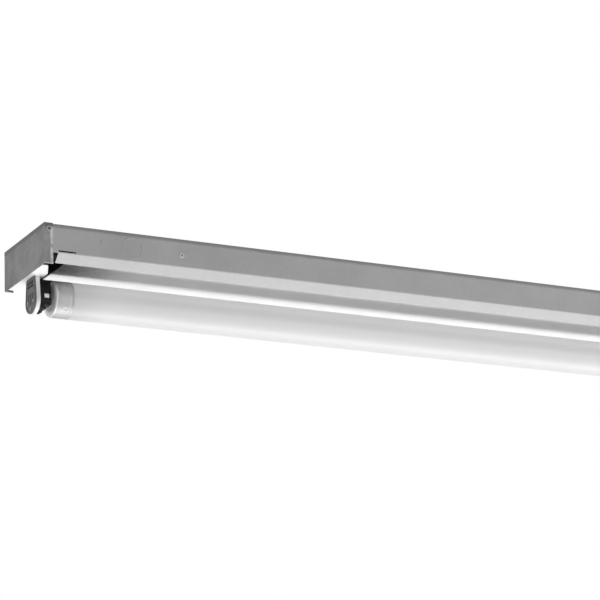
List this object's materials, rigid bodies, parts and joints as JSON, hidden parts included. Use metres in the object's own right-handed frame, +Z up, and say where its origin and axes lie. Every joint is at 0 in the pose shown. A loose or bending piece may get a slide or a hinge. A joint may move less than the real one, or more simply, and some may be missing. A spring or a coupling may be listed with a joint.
{
  "type": "fluorescent strip light",
  "caption": "Ceiling strip light: folded sheet channel with end caps, recessed cover and a straight fluorescent lamp that turns in its end lampholders.",
  "frame": {"origin": "middle of the channel's top face, which lies against the ceiling", "axes": "+X along the lamp, +Y across the channel, +Z up towards the ceiling"},
  "size_m": [1.2554, 0.1098, 0.082],
  "materials": {
    "housing_paint": "baked enamel, satin",
    "cover_paint": "baked white enamel, satin",
    "zinc_steel": "zinc-plated steel",
    "holder_white": "moulded white plastic",
    "holder_grey": "moulded grey plastic",
    "holder_black": "moulded black plastic",
    "contact_metal": "tinned spring bronze strip",
    "lamp_coating": "glass tube with an opaque white coating inside",
    "lamp_cap_metal": "drawn aluminium",
    "lamp_disc_plastic": "pale moulded insulation",
    "pin_brass": "nickel-plated brass",
    "cathode_glass": "glass stem with metal posts",
    "ballast_paint": "white enamel",
    "potting": "cast compound",
    "bushing_plastic": "moulded black plastic",
    "wire_insulation": "insulated wire",
    "clip_plastic": "moulded nylon",
    "connector_plastic": "moulded plastic",
    "ground_green": "green lacquered steel"
  },
  "bodies": {
    "housing": {"channel": "housing_paint", "end_cap_left": "housing_paint", "end_cap_right": "housing_paint", "knockouts_left": "housing_paint", "knockouts_right": "housing_paint", "end_cap_rivets": "housing_paint", "bridge_rivets": "housing_paint", "cover": "cover_paint", "bridge_left": "zinc_steel", "bridge_right": "zinc_steel", "ballast_screws": "zinc_steel", "ballast_base": "zinc_steel", "holder_back_left": "holder_grey", "holder_back_right": "holder_grey", "holder_body_left": "holder_white", "holder_body_right": "holder_white", "holder_front_left": "holder_black", "holder_front_right": "holder_black", "contacts_left": "contact_metal", "contacts_right": "contact_metal", "ballast_can": "ballast_paint", "ballast_filling": "potting", "ballast_bushings": "bushing_plastic", "lamp_wires_left": "wire_insulation", "lamp_wires_right": "wire_insulation", "supply_leads": "wire_insulation", "wire_clips": "clip_plastic", "wire_connectors": "connector_plastic", "ground_screw": "ground_green"},
    "lamp": {"lamp_glass": "lamp_coating", "lamp_cap_left": "lamp_cap_metal", "lamp_cap_right": "lamp_cap_metal", "lamp_disc_left": "lamp_disc_plastic", "lamp_disc_right": "lamp_disc_plastic", "lamp_pins_left": "pin_brass", "lamp_pins_right": "pin_brass", "cathode_left": "cathode_glass", "cathode_right": "cathode_glass", "rotor_left": "holder_black", "rotor_right": "holder_black"},
    "latch_left": {"latch_left": "zinc_steel"},
    "latch_right": {"latch_right": "zinc_steel"}
  },
  "joints": [
    {"name": "lamp_turn", "type": "hinge", "parent": "housing", "child": "lamp", "pos_m": [0, 0, -0.0629], "axis": [1, 0, 0], "range_deg": [0, 90]},
    {"name": "latch_left_turn", "type": "hinge", "parent": "housing", "child": "latch_left", "pos_m": [-0.4757, -0.0315, -0.0294], "axis": [0, 0, 1], "range_deg": [0, 90]},
    {"name": "latch_right_turn", "type": "hinge", "parent": "housing", "child": "latch_right", "pos_m": [0.4757, -0.0315, -0.0294], "axis": [0, 0, 1], "range_deg": [0, 90]}
  ]
}
